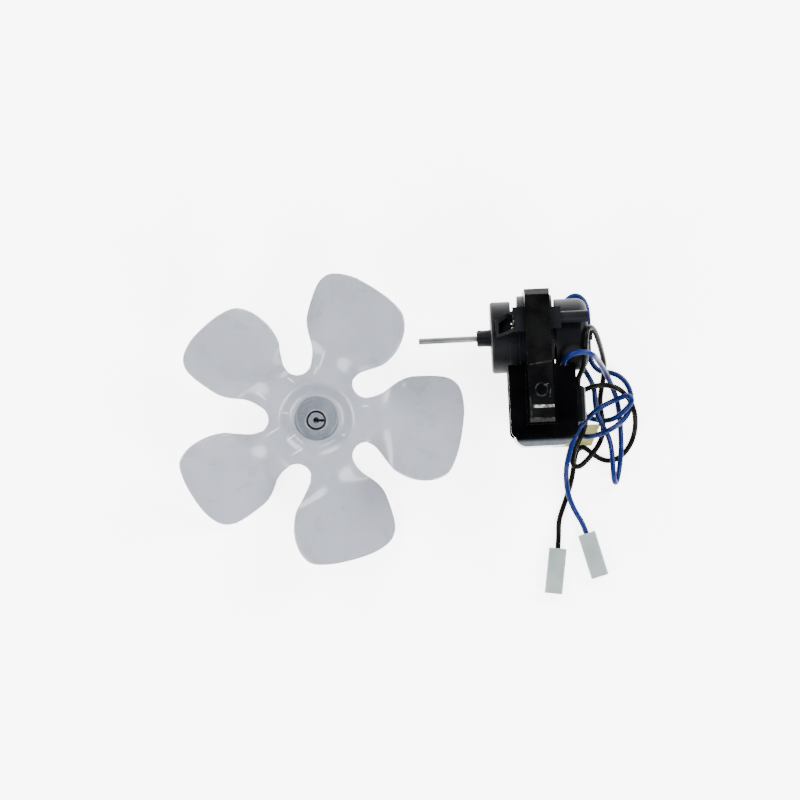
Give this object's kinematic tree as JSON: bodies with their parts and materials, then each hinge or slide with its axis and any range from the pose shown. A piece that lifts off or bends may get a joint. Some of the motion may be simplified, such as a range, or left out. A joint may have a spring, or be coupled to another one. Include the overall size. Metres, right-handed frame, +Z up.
{
  "type": "refrigerator fan motor",
  "caption": "Open-frame shaded-pole motor with a thin shaft, two leads with plug-in connectors, and its push-on axial fan lying beside it.",
  "frame": {"origin": "midway between the two rear mounting posts' pilot holes, in the plane of the posts' ends", "axes": "+X along the shaft from its free end to the rear posts, +Z up from the leg the motor lies on, Y along the frame's legs with the coil at -Y"},
  "size_m": [0.2383, 0.172, 0.061],
  "materials": {
    "painted_laminations": "glossy black varnish over punched steel",
    "core_steel": "bare laminated steel",
    "black_nylon": "glossy moulded nylon",
    "winding_copper": "enamelled copper",
    "coil_tape": "black tape",
    "yellow_film": "translucent polyester film",
    "bare_copper": "bare copper bar",
    "bracket_plastic": "satin black glass-filled plastic",
    "sintered_bronze": "oil-soaked sintered bronze",
    "spring_steel": "spring steel",
    "felt": "oiled felt",
    "screw_steel": "zinc-plated steel",
    "shaft_steel": "ground steel",
    "rotor_steel": "turned laminations",
    "rotor_aluminium": "die-cast aluminium",
    "washer_nylon": "nylon",
    "fan_plastic": "milky grey-blue polypropylene",
    "black_lead_plastic": "black insulation",
    "blue_lead_plastic": "blue insulation",
    "tinned_brass": "tin-plated brass",
    "white_nylon": "translucent white nylon"
  },
  "bodies": {
    "stator": {"c_frame_stack": "painted_laminations", "coil_core": "core_steel", "bobbin": "black_nylon", "winding": "winding_copper", "coil_wrap": "coil_tape", "insulating_film": "yellow_film", "shading_rings": "bare_copper", "front_bracket": "bracket_plastic", "rear_bracket": "bracket_plastic", "rear_cap": "bracket_plastic", "front_bearing": "sintered_bronze", "rear_bearing": "sintered_bronze", "front_bearing_clip": "spring_steel", "rear_bearing_clip": "spring_steel", "front_oil_felt": "felt", "rear_oil_felt": "felt", "bracket_screws": "screw_steel", "black_lead": "black_lead_plastic", "blue_lead": "blue_lead_plastic", "black_lead_terminal": "tinned_brass", "blue_lead_terminal": "tinned_brass", "black_lead_housing": "white_nylon", "blue_lead_housing": "white_nylon", "fan": "fan_plastic", "fan_spring_ring": "spring_steel"},
    "rotor": {"shaft": "shaft_steel", "rotor_core": "rotor_steel", "rotor_cage": "rotor_aluminium", "front_thrust_washer": "washer_nylon", "rear_thrust_washer": "washer_nylon", "front_oil_slinger": "washer_nylon", "rear_oil_slinger": "washer_nylon"}
  },
  "joints": [
    {"name": "rotor_spin", "type": "hinge", "parent": "stator", "child": "rotor", "pos_m": [-0.026, -0.008, 0], "axis": [1, 0, 0], "continuous": true}
  ]
}
